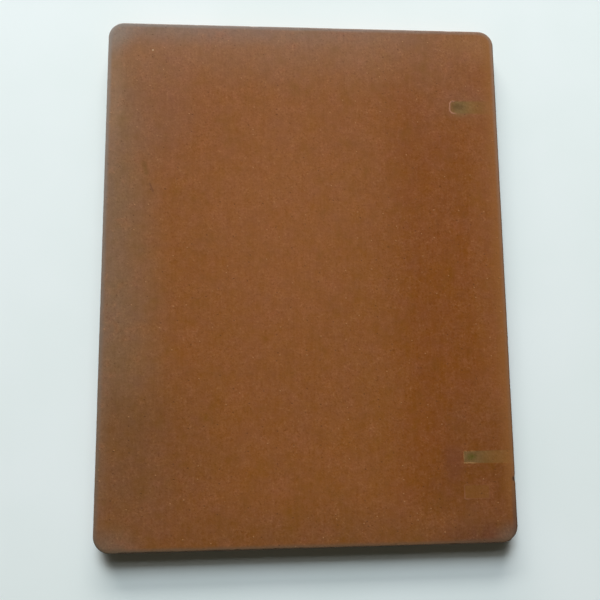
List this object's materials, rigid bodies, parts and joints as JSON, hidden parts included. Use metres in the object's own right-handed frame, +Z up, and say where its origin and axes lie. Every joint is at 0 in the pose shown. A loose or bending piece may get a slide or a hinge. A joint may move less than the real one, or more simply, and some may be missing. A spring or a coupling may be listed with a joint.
{
  "type": "steel plate",
  "caption": "Flat rectangular steel plate with rounded corners and eased edges, its faces covered in an even settled rust.",
  "frame": {"origin": "under the middle of the plate, on the face that it rests on", "axes": "+X across the plate's width, +Y along its length, +Z up through its thickness"},
  "size_m": [0.2, 0.26, 0.008],
  "materials": {
    "rusted_steel": "matte"
  },
  "bodies": {
    "root": {"plate": "rusted_steel"}
  },
  "joints": []
}
